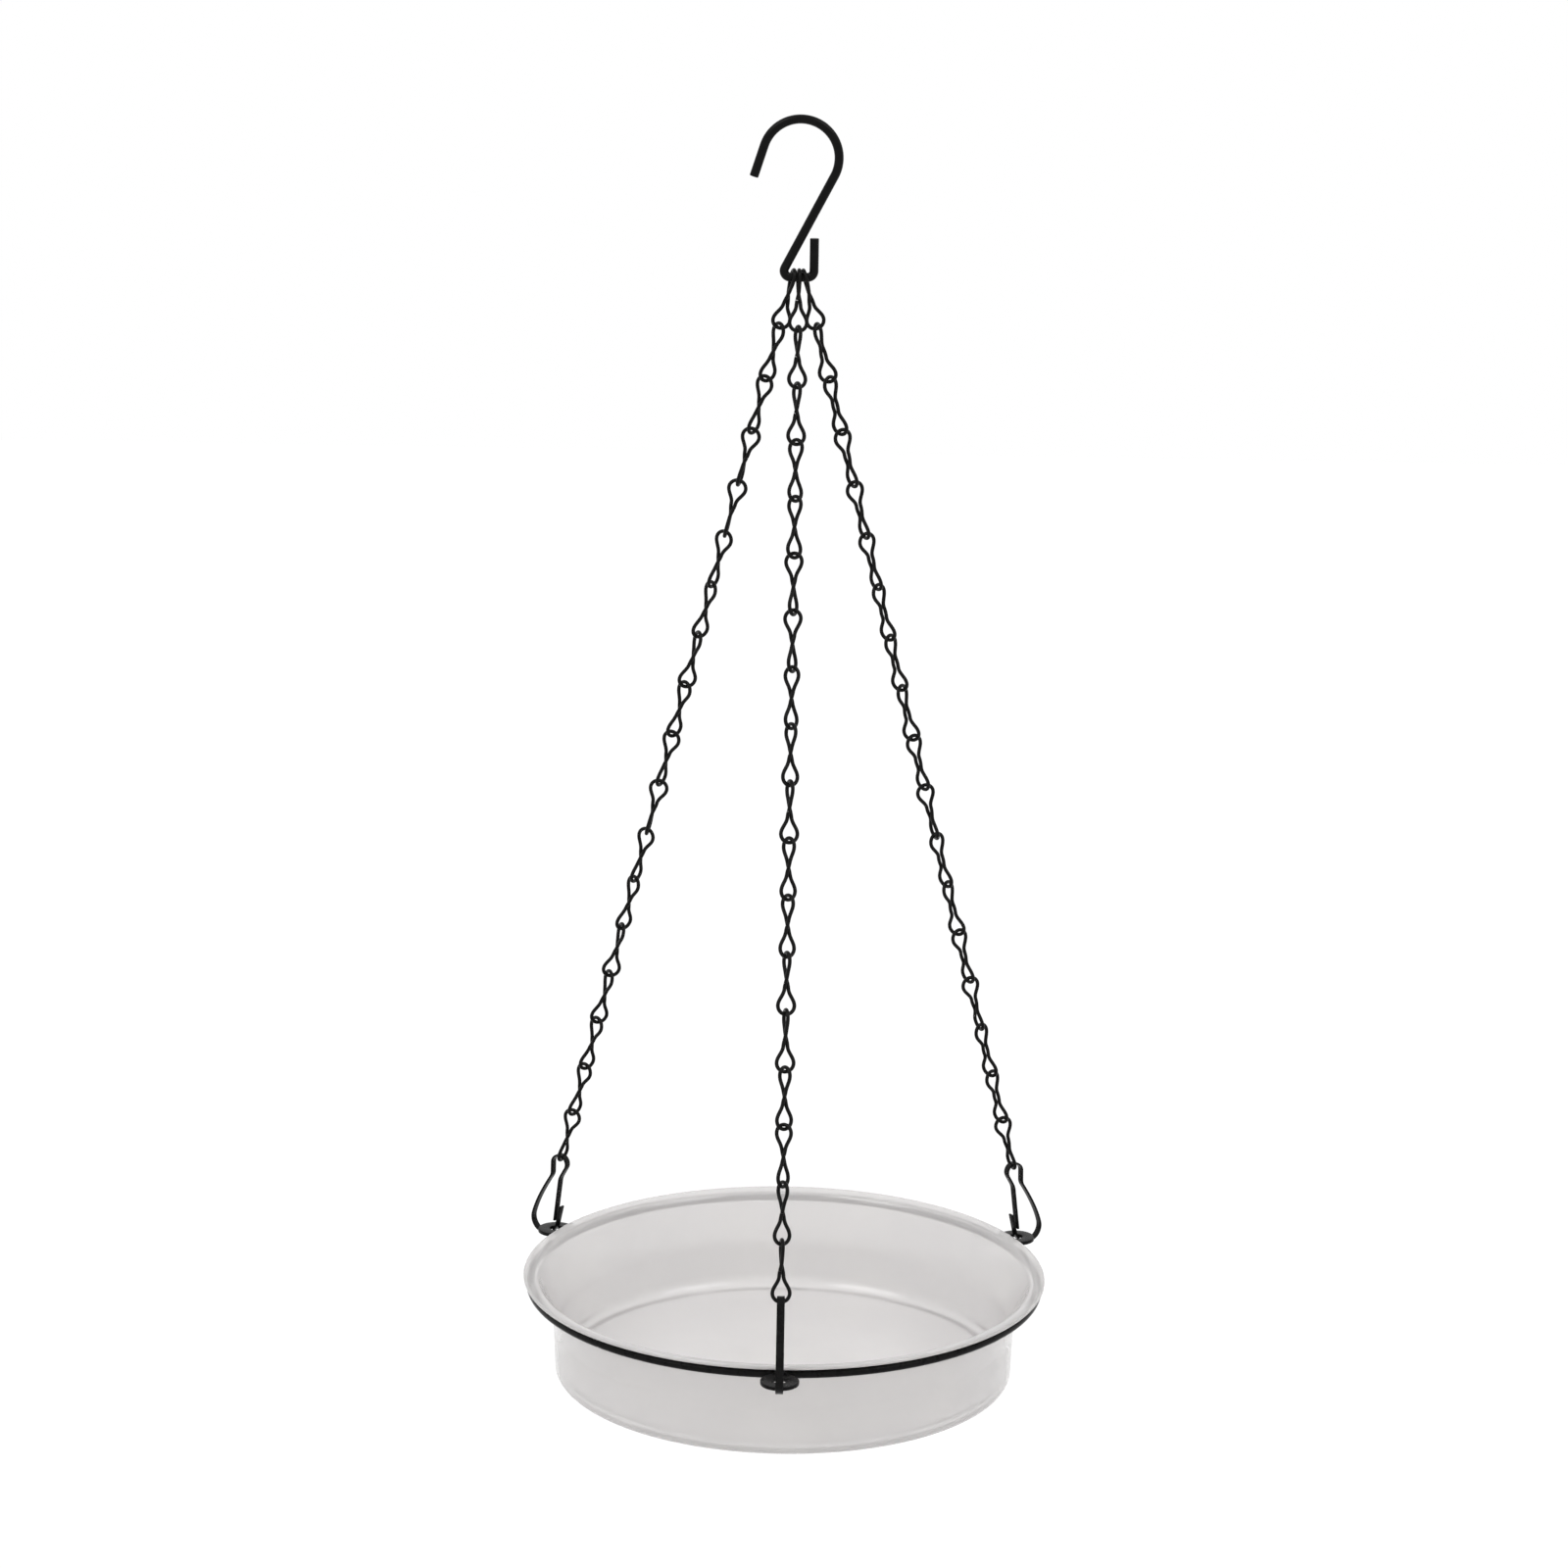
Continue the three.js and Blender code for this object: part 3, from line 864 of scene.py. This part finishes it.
@dataclass
class SpringClip:
    """A clip bent from one flat spring strip: loop, neck, pear, lower bend, tip and sprung gate."""

    side: Side
    finish: bpy.types.Material
    strip: float = 1.0 * MM
    width: float = 3.6 * MM
    edge: float = 0.22 * MM
    loop: float = 4.2 * MM
    link_inside: float = Chain.loop - Chain.wire / 2
    link_play: float = 0.3 * MM
    length: float = 35.0 * MM
    neck_drop: float = 10.5 * MM
    neck_half: float = 2.4 * MM
    neck_bend: float = 1.6 * MM
    eye_web: float = 5.75 * MM
    bend_room: float = 4.0 * MM
    leg_bulge: float = 9.0 * MM
    tip_rise: float = 10.2 * MM
    tip_lean: float = 0.4 * MM
    gate_overlap: float = 8.5 * MM
    gate_rest_gap: float = 0.35 * MM
    flex: float = 2.2 * MM
    step: float = 0.35 * MM
    ease: float = 0.18 * MM

    @property
    def loop_y(self) -> float:
        """Height of the loop's middle, with the strip's edges hung in the last link's round loop."""
        edge_rise = self.link_inside - math.sqrt(self.link_inside**2 - (self.width / 2) ** 2)
        return self.link_play / 2 + edge_rise + self.strip / 2 - self.loop

    @property
    def lower_bend(self) -> float:
        """Radius of the lower bend, with room beside the eye's web."""
        return (self.eye_web + self.strip) / 2 + self.bend_room

    def seam(self) -> Array:
        """The point where the straight to the outer neck leaves the loop.

        Returns:
            The point's X, outwards, and Y, up along the chain.
        """
        drop = self.loop_y + self.neck_drop
        angle = math.acos(self.loop / math.hypot(self.neck_half, drop))
        angle -= math.atan2(drop, self.neck_half)
        return np.array([self.loop * math.cos(angle), self.loop_y + self.loop * math.sin(angle)])

    def tip(self) -> Array:
        """The top of the turned-up tip."""
        return np.array([self.tip_lean - self.lower_bend, self.tip_rise - self.length])

    def kink(self, start: Array, corner: Array, end: Array) -> Array:
        """A short bend round a corner, between points one neck bend before and after it.

        Args:
            start: Where the strip comes from.
            corner: The corner.
            end: Where it goes.

        Returns:
            The bend's points.
        """
        into = (corner - start) / np.linalg.norm(corner - start)
        out = (end - corner) / np.linalg.norm(end - corner)
        return curve(corner - self.neck_bend * into, corner, corner + self.neck_bend * out)

    def body_line(self) -> Array:
        """The strip from the loop's inner side, over the loop and down the leg, to the tip.

        Returns:
            Points of X, outwards, and Y, up along the chain.
        """
        seam = self.seam()
        neck = np.array([self.neck_half, -self.neck_drop])
        angle = math.atan2(seam[1] - self.loop_y, seam[0])
        over = arc((0.0, self.loop_y), self.loop, math.pi - angle, angle, LONG_ARC_POINTS)
        leg_top = np.array([self.lower_bend, self.leg_bulge - self.length])
        bend = arc((0.0, -self.length), self.lower_bend, 0.0, -math.pi, LONG_ARC_POINTS)
        into_leg = self.kink(seam, neck, leg_top)
        leg = curve(into_leg[-1], leg_top, bend[0], LONG_CURVE_POINTS)
        return np.concatenate([over, into_leg, leg[1:], bend[1:], self.tip()[None]])

    def gate_line(self) -> Array:
        """The strip from the loop's inner side, through the inner neck, to the gate's free end.

        Returns:
            Points of X, outwards, and Y, up along the chain.
        """
        mirror = np.array([-1.0, 1.0])
        start = self.seam() * mirror
        neck = np.array([-self.neck_half, -self.neck_drop])
        beside_tip = np.array([self.strip + self.gate_rest_gap, -self.gate_overlap])
        end = self.tip() + beside_tip
        return np.concatenate([start[None], self.kink(start, neck, end), end[None]])

    def bent(self, line: Array, axes: Array, origin: Array) -> Surface:
        """The strip bent along a line in the clip's plane.

        Args:
            line: Points of X and Y.
            axes: The clip's own directions, one in each row.
            origin: Its bearing on the last link.

        Returns:
            The strip's surface.
        """
        flat = evenly(line, self.step)
        upright = np.concatenate([flat, np.zeros((len(flat), 1))], axis=1)
        outline = flat_outline(self.strip, self.width, self.edge)
        return carried(upright, UP, outline, self.ease).placed(axes, origin)

    def build(self) -> None:
        """Makes the strip on the ring's body, and the gate, which rides on no body."""
        word = self.side.word
        gate_joint = joint_of(f"clip_gate_{word}")
        up = np.array(joint_of(f"link_{word}_03")["axis"])
        tangent = np.array(gate_joint["axis"])
        axes = np.stack([np.cross(up, tangent), up, tangent])
        hinge = np.array(gate_joint["pos_m"])
        origin = hinge + self.neck_half * axes[0] + self.neck_drop * axes[1]
        spots = np.stack([origin, origin - (self.length + self.lower_bend) * axes[1]])
        strip = self.bent(self.body_line(), axes, origin)
        name = f"clip_{word}"
        Piece(f"{name}_strip", strip, self.finish, Slot.CLIP, name, spots).on_body("ring_set")
        gate = self.bent(self.gate_line(), axes, origin)
        node = f"clip_gate_{word}"
        made = Piece(f"{node}_strip", gate, self.finish, Slot.CLIP, node).made()
        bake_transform(made)


@dataclass
class SupportRing:
    """The wire ring, with three flat eyes welded to its outside."""

    finish: bpy.types.Material
    wire: float = 4.0 * MM
    mean_radius: float = 123.7 * MM
    eye: float = 18.0 * MM
    eye_hole: float = 6.5 * MM
    eye_thickness: float = 1.8 * MM
    eye_edge: float = 0.35 * MM
    eye_edge_points: int = 6
    eye_facets: int = 96
    weld_lap: float = 0.8 * MM
    weld_bead: float = 0.95 * MM
    weld_swell: float = 0.07
    weld_ripples: int = 5
    weld_blunt: float = 0.12
    weld_rows: int = 61
    weld_sides: int = 20
    facets: int = 360
    sides: int = 24

    def level(self) -> float:
        """Height of the ring's middle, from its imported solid."""
        low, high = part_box("support_ring")
        return (low.z + high.z) / 2

    def wire_surface(self) -> Surface:
        """A torus: the wire's round section turned about the ring's axis.

        Returns:
            The ring's wire.
        """
        section = round_outline(self.wire / 2, self.sides)
        profile = section + np.array([self.mean_radius, self.level()])
        return turned(profile, self.facets, Ends.JOINED)

    def eye_middle(self, side: Side) -> Array:
        """The middle of a side's eye."""
        radius = self.mean_radius + self.wire / 2 + self.eye / 2 - self.weld_lap
        return radius * side.outward + self.level() * UP

    def eye_surface(self, side: Side) -> Surface:
        """A washer: a flat outline with round corners turned about the eye's middle.

        Args:
            side: The side of the eye.

        Returns:
            The eye.
        """
        web = (self.eye - self.eye_hole) / 2
        profile = flat_outline(web, self.eye_thickness, self.eye_edge, self.eye_edge_points)
        profile += np.array([self.eye_hole / 2 + web / 2, 0.0])
        washer = turned(profile, self.eye_facets, Ends.JOINED)
        return washer.placed(np.eye(3), self.eye_middle(side))

    def weld_surface(self, side: Side) -> Surface:
        """Two weld beads, above and below, where the eye's faces meet the wire.

        A bead's middle follows the ring. Its radius falls at the ends as the square root of 1 - s^2,
        with s close to -1 and 1 there, and swells and shrinks a little on a cosine.

        Args:
            side: The side of the eye.

        Returns:
            The beads.
        """
        face = self.eye_thickness / 2
        meet = self.mean_radius + math.sqrt((self.wire / 2) ** 2 - face**2)
        middle = self.eye_middle(side)
        from_eye = float(np.linalg.norm(middle[:2])) - meet
        half = math.sqrt((self.eye / 2) ** 2 - from_eye**2) / meet
        s = np.cos(np.linspace(math.pi - self.weld_blunt, self.weld_blunt, self.weld_rows))
        angle = math.radians(side.value) + s * half
        swell = 1 + self.weld_swell * np.cos(2 * math.pi * self.weld_ripples * s)
        radius = self.weld_bead * np.sqrt(1 - s**2) * swell
        outwards = np.stack([np.cos(angle), np.sin(angle), np.zeros_like(angle)], axis=1)
        spread = radius[:, None, None] * round_outline(1.0, self.weld_sides)
        section = spread[..., :1] * outwards[:, None] + spread[..., 1:] * UP
        beads = []
        for height in (face, -face):
            line = meet * outwards + (self.level() + height) * UP
            beads.append(grid_surface(line[:, None] + section, Ends.CAPPED))
        return Surface.together(beads)

    def build(self) -> None:
        """Makes the wire, the eyes and their welds on the ring's body."""
        look = (self.finish, Slot.RING, "support_ring")
        pieces = [Piece("ring_wire", self.wire_surface(), *look)]
        for side in Side:
            rub = self.eye_middle(side) + (self.eye + self.eye_hole) / 4 * side.outward
            pieces.append(Piece(f"eye_{side.word}", self.eye_surface(side), *look, rub[None]))
            pieces.append(Piece(f"eye_weld_{side.word}", self.weld_surface(side), *look))
        for piece in pieces:
            piece.on_body("ring_set")


@dataclass
class Bowl:
    """The moulded bowl: a flared rim, a curved shoulder, a straight wall and a flat floor."""

    finish: FrostedPlastic
    wall: float = 1.8 * MM
    flare_width: float = 5.5 * MM
    flare_drop: float = 1.1 * MM
    shoulder_depth: float = 26.0 * MM
    shoulder_inset: float = 9.3 * MM
    shoulder_turn: float = 0.72
    draft: float = 0.6 * MM
    base_edge: float = 3.1 * MM
    floor_fillet: float = 7.0 * MM
    floor_margin: float = 3.0 * MM
    floor_rings: int = 12
    facets: int = 288
    step: float = 0.5 * MM
    corner_reach: int = 2
    lip_points: int = 13

    def middle_line(self, corner: float) -> Array:
        """The middle of the wall from the floor's margin, up the wall and over the flare.

        Args:
            corner: Radius of the turn from the floor into the wall.

        Returns:
            Points of radius and height.
        """
        low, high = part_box("bowl")
        slope = math.atan2(self.flare_drop, self.flare_width)
        lip = np.array([high.x - self.wall / 2, high.z - self.wall / 2 * math.cos(slope)])
        base = low.z + self.wall / 2
        flare = lip - np.array([self.flare_width, self.flare_drop])
        wall_top = flare - np.array([self.shoulder_inset, self.shoulder_depth])
        turn = np.array([wall_top[0], flare[1] - self.shoulder_depth * self.shoulder_turn])
        floor_radius = wall_top[0] - self.draft - corner
        foot = arc((floor_radius, base + corner), corner, -math.pi / 2, 0.0)
        margin = foot[:1] - np.array([self.floor_margin, 0.0])
        shoulder = curve(wall_top, turn, flare, LONG_CURVE_POINTS)
        return np.concatenate([margin, foot, shoulder, lip[None]])

    def side_line(self, corner: float, offset: float) -> Array:
        """One face from the axis: wide steps along the floor, then a fixed distance beside the middle.

        Args:
            corner: Radius of the middle line's turn into the wall.
            offset: Distance to the left of the line, seen along it.

        Returns:
            Points of radius and height.
        """
        line = eased(evenly(self.middle_line(corner), self.step), self.corner_reach)
        along = directions(line)
        side = line + offset * np.stack([-along[:, 1], along[:, 0]], axis=1)
        reach = np.linspace(self.step, side[0, 0], self.floor_rings, endpoint=False)
        floor = np.stack([reach, np.full_like(reach, side[0, 1])], axis=1)
        return np.concatenate([floor, side])

    def build(self) -> None:
        """Makes the shell: the outer face, a round lip and the inner face, turned about the axis."""
        half = self.wall / 2
        outer = self.side_line(self.base_edge - half, -half)
        inner = self.side_line(self.floor_fillet + half, half)
        lip = (outer[-1] + inner[-1]) / 2
        tilt = math.atan2(*(outer[-1] - lip)[::-1])
        edge = arc(tuple(lip), half, tilt, tilt + math.pi, self.lip_points)[1:-1]
        profile = np.concatenate([outer, edge, inner[::-1]])
        shell = turned(profile, self.facets, Ends.CAPPED)
        frost = self.finish.material()
        Piece("bowl_shell", shell, frost, Slot.BOWL, "bowl").on_body("bowl_body")


def looked_at(tree: bpy.types.NodeTree) -> Socket:
    """A socket that is 1 for rays that look: from the camera, off a gloss, or through a clear piece.

    Args:
        tree: The node tree to add it to.

    Returns:
        The socket.
    """
    path = tree.nodes.new("ShaderNodeLightPath")
    seen = path.outputs["Is Camera Ray"]
    for other in ("Is Glossy Ray", "Is Transmission Ray"):
        either = tree.nodes.new("ShaderNodeMath")
        either.operation = "MAXIMUM"
        tree.links.new(seen, either.inputs[0])
        tree.links.new(path.outputs[other], either.inputs[1])
        seen = either.outputs[0]
    return seen


@dataclass(frozen=True)
class Lamp:
    """A wide distant lamp, whose light is as even as a big soft box's. Its angles are in degrees."""

    name: str
    turn: float
    rise: float
    strength: float
    width: float

    def hang(self) -> None:
        """Makes the lamp, shining on the bath from its turn and rise."""
        light = bpy.data.lights.new(self.name, "SUN")
        light.energy = self.strength
        light.angle = math.radians(self.width)
        towards = Vector(bearing(math.radians(self.turn), math.radians(self.rise)))
        held = bpy.data.objects.new(self.name, light)
        held.rotation_euler = towards.to_track_quat("Z", "Y").to_euler()
        bpy.context.scene.collection.objects.link(held)


@dataclass
class Studio:
    """A pale floor well below the hanging bath, wide soft lamps, a white surround and the camera."""

    focal_pixels: float = 4273.7
    image_pixels: float = 1600.0
    sensor: float = 36.0
    far_end: float = 100.0
    distance: float = 1987.3 * MM
    elevation: float = math.radians(13.542)
    yaw: float = math.radians(0.658)
    roll: float = math.radians(0.831)
    aim: tuple[float, float, float] = (-3.5 * MM, 0.0, -310.6 * MM)
    floor_gap: float = 0.5
    floor_half: float = 6.0
    floor_paper: Colour = (0.92, 0.92, 0.92)
    floor_glow: float = 0.12
    surround: float = 0.6
    lamps: tuple[Lamp, ...] = (
        Lamp("key", turn=-55.0, rise=50.0, strength=0.95, width=32.0),
        Lamp("fill", turn=60.0, rise=48.0, strength=0.75, width=32.0),
    )

    def camera(self) -> None:
        """Sets the camera at the photograph's angle: a turn and a rise round the aim, then a roll."""
        back = bearing(self.yaw, self.elevation)
        right = np.array([math.cos(self.yaw), math.sin(self.yaw), 0.0])
        up = np.cross(back, right)
        cosine, sine = math.cos(self.roll), math.sin(self.roll)
        right, up = cosine * right + sine * up, cosine * up - sine * right
        lens = bpy.data.cameras.new("camera")
        lens.sensor_width = self.sensor
        lens.lens = self.sensor * self.focal_pixels / self.image_pixels
        lens.clip_end = self.far_end
        camera = bpy.data.objects.new("camera", lens)
        pose = np.eye(4)
        pose[:3, :3] = np.stack([right, up, back], axis=1)
        pose[:3, 3] = np.array(self.aim) + self.distance * back
        camera.matrix_world = Matrix(pose.tolist())
        bpy.context.scene.collection.objects.link(camera)
        bpy.context.scene.camera = camera

    def surround_white(self) -> None:
        """A surround that looks white and lights the object a little less than that."""
        world = bpy.data.worlds.new("surround")
        bpy.context.scene.world = world
        world.use_nodes = True
        tree = world.node_tree
        tree.nodes.clear()
        seen = looked_at(tree)
        lit, white = (tree.nodes.new("ShaderNodeBackground") for _ in range(2))
        for background, strength in ((lit, self.surround), (white, 1.0)):
            background.inputs["Color"].default_value = (1.0, 1.0, 1.0, 1.0)
            background.inputs["Strength"].default_value = strength
        mix = tree.nodes.new("ShaderNodeMixShader")
        output = tree.nodes.new("ShaderNodeOutputWorld")
        tree.links.new(seen, mix.inputs["Fac"])
        tree.links.new(lit.outputs[0], mix.inputs[1])
        tree.links.new(white.outputs[0], mix.inputs[2])
        tree.links.new(mix.outputs[0], output.inputs["Surface"])

    def floor(self) -> None:
        """A plain pale floor with a faint glow where it is looked at, so that it reads white."""
        low = cad_box[0].z - self.floor_gap
        half = self.floor_half
        corners = [(-half, -half, low), (half, -half, low), (half, half, low), (-half, half, low)]
        mesh = bpy.data.meshes.new("floor")
        mesh.from_pydata(corners, [], [(0, 1, 2, 3)])
        material = bpy.data.materials.new("floor_paper")
        material.use_nodes = True
        tree = material.node_tree
        tree.nodes.clear()
        seen = looked_at(tree)
        paper = tree.nodes.new("ShaderNodeBsdfDiffuse")
        paper.inputs["Color"].default_value = (*self.floor_paper, 1.0)
        glow = tree.nodes.new("ShaderNodeEmission")
        strength = tree.nodes.new("ShaderNodeMath")
        strength.operation = "MULTIPLY"
        strength.inputs[1].default_value = self.floor_glow
        both = tree.nodes.new("ShaderNodeAddShader")
        output = tree.nodes.new("ShaderNodeOutputMaterial")
        tree.links.new(seen, strength.inputs[0])
        tree.links.new(strength.outputs[0], glow.inputs["Strength"])
        tree.links.new(paper.outputs[0], both.inputs[0])
        tree.links.new(glow.outputs[0], both.inputs[1])
        tree.links.new(both.outputs[0], output.inputs["Surface"])
        mesh.materials.append(material)
        floor = bpy.data.objects.new("floor", mesh)
        bpy.context.scene.collection.objects.link(floor)

    def build(self) -> None:
        """Makes the whole studio."""
        bpy.context.scene.view_settings.view_transform = "Standard"
        self.camera()
        for lamp in self.lamps:
            lamp.hang()
        self.surround_white()
        self.floor()


HOOK_COAT = CoatedSteel(
    "hook_coat",
    deep=(0.003, 0.0029, 0.0029),
    pale=(0.006, 0.0057, 0.0057),
    rubbed=(0.06, 0.058, 0.056),
    roughness=(0.24, 0.34),
)
CHAIN_COAT = CoatedSteel(
    "chain_coat",
    deep=(0.004, 0.0038, 0.0037),
    pale=(0.008, 0.0077, 0.0074),
    rubbed=(0.05, 0.049, 0.047),
    roughness=(0.28, 0.4),
    peel=0.35 * MM,
)
CLIP_COAT = replace(HOOK_COAT, name="clip_coat", pale=(0.006, 0.0058, 0.0058), roughness=(0.22, 0.32))
RING_COAT = replace(HOOK_COAT, name="ring_coat")
BOWL_FROST = FrostedPlastic(
    "bowl_frost",
    milk=(0.87, 0.851, 0.843),
    cloud=(0.85, 0.832, 0.829),
    roughness=(0.12, 0.17),
    clearness=0.54,
)


def main() -> None:
    """Builds the bath and its studio."""
    logging.basicConfig(level=logging.INFO, format="%(name)s: %(message)s")
    Studio().build()
    Hook(HOOK_COAT).build()
    chain_coat = CHAIN_COAT.material()
    clip_coat = CLIP_COAT.material()
    for side in Side:
        Chain(side, chain_coat).build()
        SpringClip(side, clip_coat).build()
    SupportRing(RING_COAT.material()).build()
    Bowl(BOWL_FROST).build()


if __name__ == "__main__":
    main()
